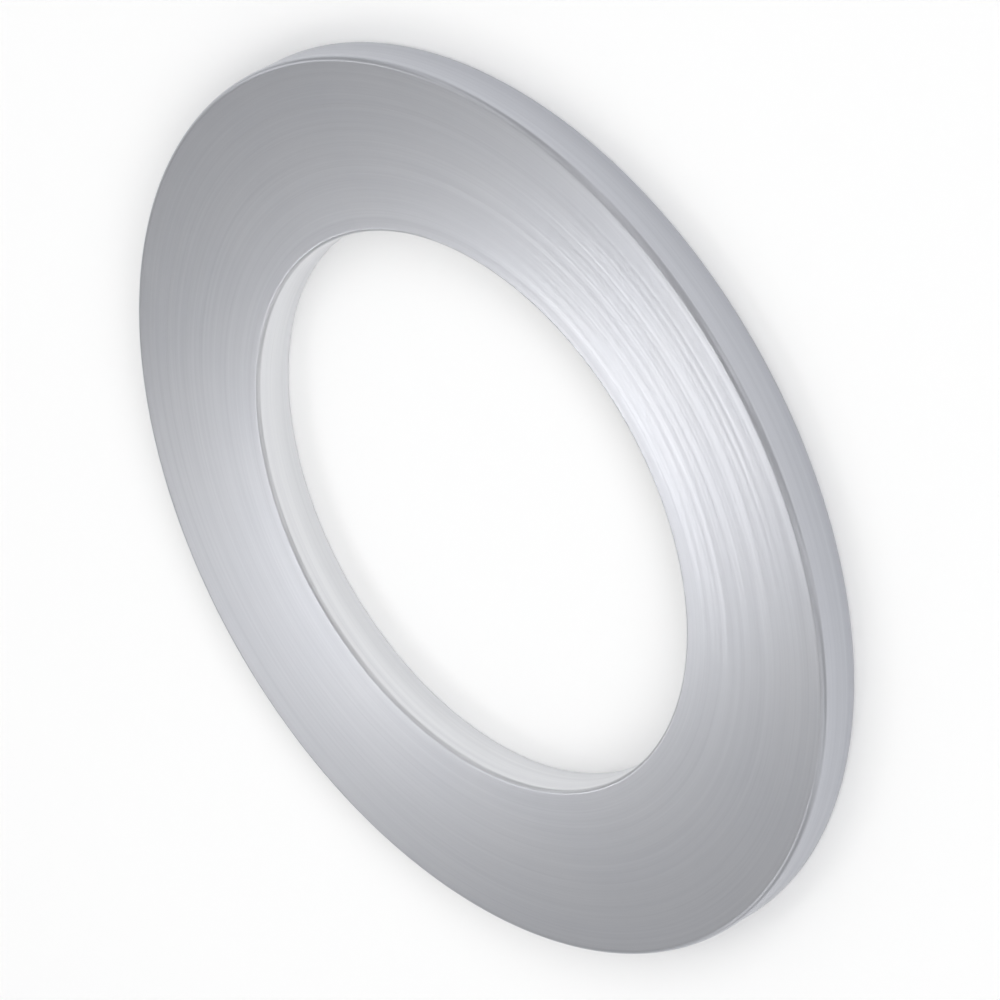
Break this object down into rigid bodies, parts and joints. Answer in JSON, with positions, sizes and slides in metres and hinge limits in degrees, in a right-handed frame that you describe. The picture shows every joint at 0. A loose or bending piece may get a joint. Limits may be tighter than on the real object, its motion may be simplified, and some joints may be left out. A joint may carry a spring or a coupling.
{
  "type": "clutch shim",
  "caption": "Flat ground-steel ring with a plain round bore and softly rounded edges, slid over a clutch shaft to take up end play beside the hub.",
  "frame": {"origin": "middle of the lower face, on the bore's axis", "axes": "+Z along the bore's axis, up from the lower face to the upper face; X and Y are equivalent"},
  "size_m": [0.0324, 0.0324, 0.0015],
  "materials": {
    "ground_steel": "faces ground to a fine circular lay, rim and bore smooth turned, edges tumbled, bare metal"
  },
  "bodies": {
    "root": {"shim": "ground_steel"}
  },
  "joints": []
}
